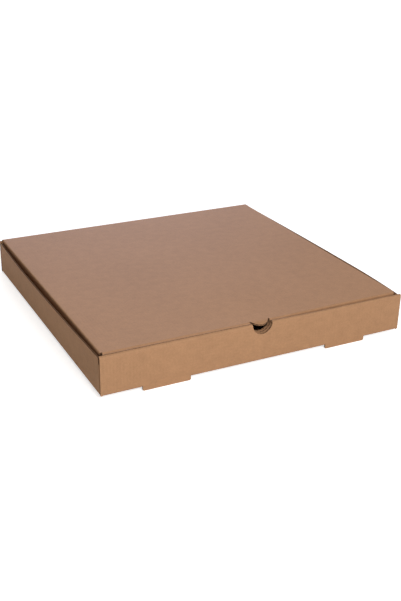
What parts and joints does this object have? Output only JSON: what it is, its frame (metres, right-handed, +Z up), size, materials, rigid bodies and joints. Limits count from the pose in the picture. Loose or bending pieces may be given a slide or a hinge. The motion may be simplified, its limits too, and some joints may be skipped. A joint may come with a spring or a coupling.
{
  "type": "pizza box",
  "caption": "Shallow square takeaway box folded from thin brown corrugated board, with a hinged lid, a thumb tab in a half-moon notch, and feet below the front wall.",
  "frame": {"origin": "under the middle of the shut box, level with the bottom of the feet", "axes": "+X to the right along the front wall, +Y from the front wall to the back wall, +Z up"},
  "size_m": [0.336, 0.32, 0.0432],
  "materials": {
    "kraft_board": "matte brown kraft paper liner on thin corrugated board"
  },
  "bodies": {
    "tray": {"tray": "kraft_board"},
    "lid": {"lid": "kraft_board"}
  },
  "joints": [
    {"name": "lid_hinge", "type": "hinge", "parent": "tray", "child": "lid", "pos_m": [0, 0.15944, 0.04264], "axis": [-1, 0, 0], "range_deg": [0, 180]}
  ]
}
